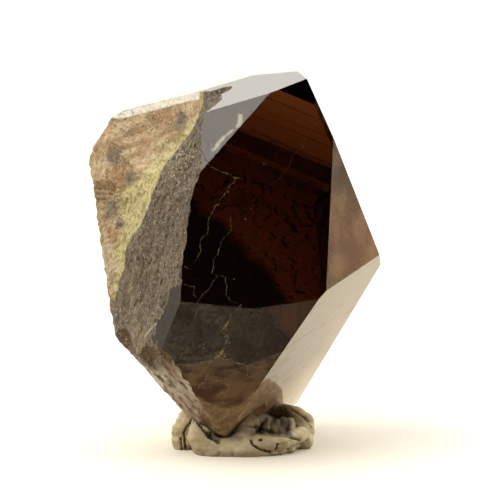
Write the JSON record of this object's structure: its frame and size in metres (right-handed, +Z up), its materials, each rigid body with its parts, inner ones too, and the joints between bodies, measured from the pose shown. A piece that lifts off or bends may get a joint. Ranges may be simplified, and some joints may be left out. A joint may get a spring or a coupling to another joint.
{
  "type": "smoky quartz crystal on putty",
  "caption": "Single stout smoky quartz point, dark and see-through, broken down one side, stood on a pressed lump of pale mineral putty.",
  "frame": {"origin": "middle of the bounding box at the flat underside of the putty", "axes": "+Z up, -Y towards the viewer who faces the large dark tip face, +X to that viewer's right"},
  "size_m": [0.0478, 0.0454, 0.0624],
  "materials": {
    "smoky_quartz": "glassy growth faces, frosted and iron-stained where broken",
    "mineral_putty": "matt, soft, pressed into folds"
  },
  "bodies": {
    "root": {"quartz_crystal": "smoky_quartz", "putty_base": "mineral_putty"}
  },
  "joints": []
}
